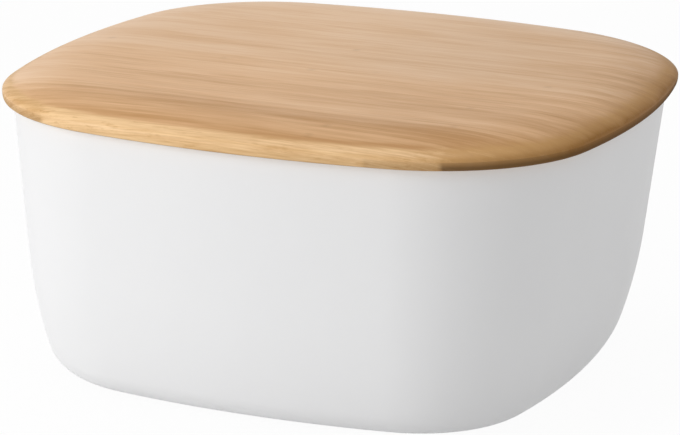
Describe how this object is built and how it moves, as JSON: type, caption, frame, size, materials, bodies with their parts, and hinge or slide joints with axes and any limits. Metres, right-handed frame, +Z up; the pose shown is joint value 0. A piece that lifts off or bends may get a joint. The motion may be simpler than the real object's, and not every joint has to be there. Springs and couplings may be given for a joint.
{
  "type": "bread box",
  "caption": "Rounded-square bread box: a plain moulded tub with softly rounded base, and a lift-off laminated bamboo board lid that sits on the rim and is centred by a soft ring.",
  "frame": {"origin": "middle of the base, on the plane the box stands on", "axes": "+Z up, -Y front, +X right and along the lid's staves"},
  "size_m": [0.345, 0.345, 0.1665],
  "materials": {
    "melamine": "matt moulded white",
    "bamboo": "oiled laminated bamboo",
    "silicone": "matt translucent white"
  },
  "bodies": {
    "tub": {"tub": "melamine"},
    "lid": {"lid_stave_01": "bamboo", "lid_stave_02": "bamboo", "lid_stave_03": "bamboo", "lid_stave_04": "bamboo", "lid_stave_05": "bamboo", "lid_stave_06": "bamboo", "lid_stave_07": "bamboo", "lid_stave_08": "bamboo", "lid_stave_09": "bamboo", "lid_stave_10": "bamboo", "lid_stave_11": "bamboo", "lid_stave_12": "bamboo", "lid_stave_13": "bamboo", "lid_stave_14": "bamboo", "lid_stave_15": "bamboo", "lid_stave_16": "bamboo", "lid_stave_17": "bamboo", "lid_seal": "silicone"}
  },
  "joints": [
    {"name": "lid_lift", "type": "slide", "parent": "tub", "child": "lid", "axis": [0, 0, 1], "range_m": [0, 0.2]}
  ]
}
